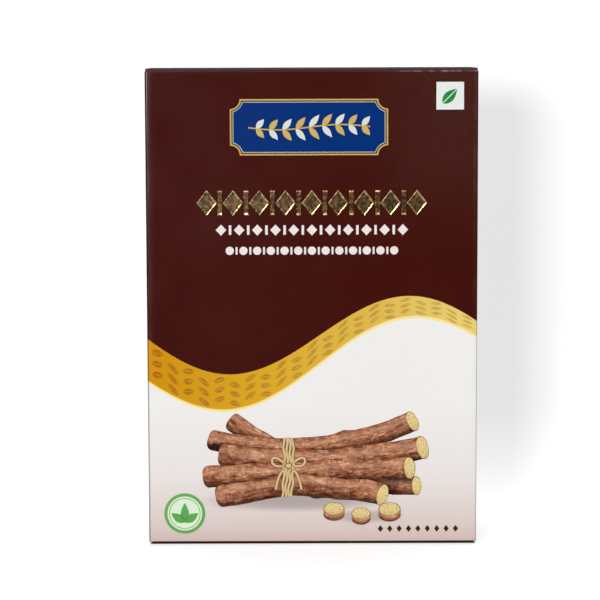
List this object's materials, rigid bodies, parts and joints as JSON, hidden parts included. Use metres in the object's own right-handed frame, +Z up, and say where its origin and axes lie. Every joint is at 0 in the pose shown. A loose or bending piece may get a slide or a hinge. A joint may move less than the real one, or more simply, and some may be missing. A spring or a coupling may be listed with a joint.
{
  "type": "folding carton of licorice root",
  "caption": "Upright paperboard retail carton with a tuck lid and dust flaps, holding a clear bag of dried licorice root sticks.",
  "frame": {"origin": "centre of the base, on the surface that the carton stands on", "axes": "+Z up the carton, +Y through its depth from the printed front to the back, +X across the front to the viewer's right"},
  "size_m": [0.115, 0.0396, 0.1665],
  "materials": {
    "printed_board": "gloss",
    "plain_board": "matte",
    "film": "gloss",
    "root": "matte"
  },
  "bodies": {
    "carton": {"sleeve": "printed_board", "glue_flap": "plain_board", "bottom_outer_flap": "printed_board", "bottom_inner_flap": "plain_board", "bottom_dust_flap_left": "plain_board", "bottom_dust_flap_right": "plain_board", "pouch": "film", "root_01": "root", "root_02": "root", "root_03": "root", "root_04": "root", "root_05": "root", "root_06": "root", "root_07": "root", "root_08": "root", "root_09": "root", "root_10": "root", "root_11": "root", "root_12": "root", "root_13": "root", "root_14": "root", "root_15": "root", "root_16": "root", "root_17": "root", "root_18": "root", "root_19": "root", "root_20": "root", "root_21": "root", "root_22": "root", "root_23": "root", "root_24": "root"},
    "lid": {"lid": "printed_board"},
    "tuck": {"tuck_flap": "printed_board"},
    "dust_left": {"dust_flap_left": "plain_board"},
    "dust_right": {"dust_flap_right": "plain_board"}
  },
  "joints": [
    {"name": "lid_hinge", "type": "hinge", "parent": "carton", "child": "lid", "pos_m": [0, 0.019, 0.1665], "axis": [-1, 0, 0], "range_deg": [0, 180]},
    {"name": "tuck_fold", "type": "hinge", "parent": "lid", "child": "tuck", "pos_m": [0, -0.0182, 0.1665], "axis": [1, 0, 0], "range_deg": [-12, 20]},
    {"name": "dust_left_fold", "type": "hinge", "parent": "carton", "child": "dust_left", "pos_m": [-0.0567, 0, 0.1652], "axis": [0, 1, 0], "range_deg": [0, 85]},
    {"name": "dust_right_fold", "type": "hinge", "parent": "carton", "child": "dust_right", "pos_m": [0.0567, 0, 0.1652], "axis": [0, -1, 0], "range_deg": [0, 85]}
  ]
}
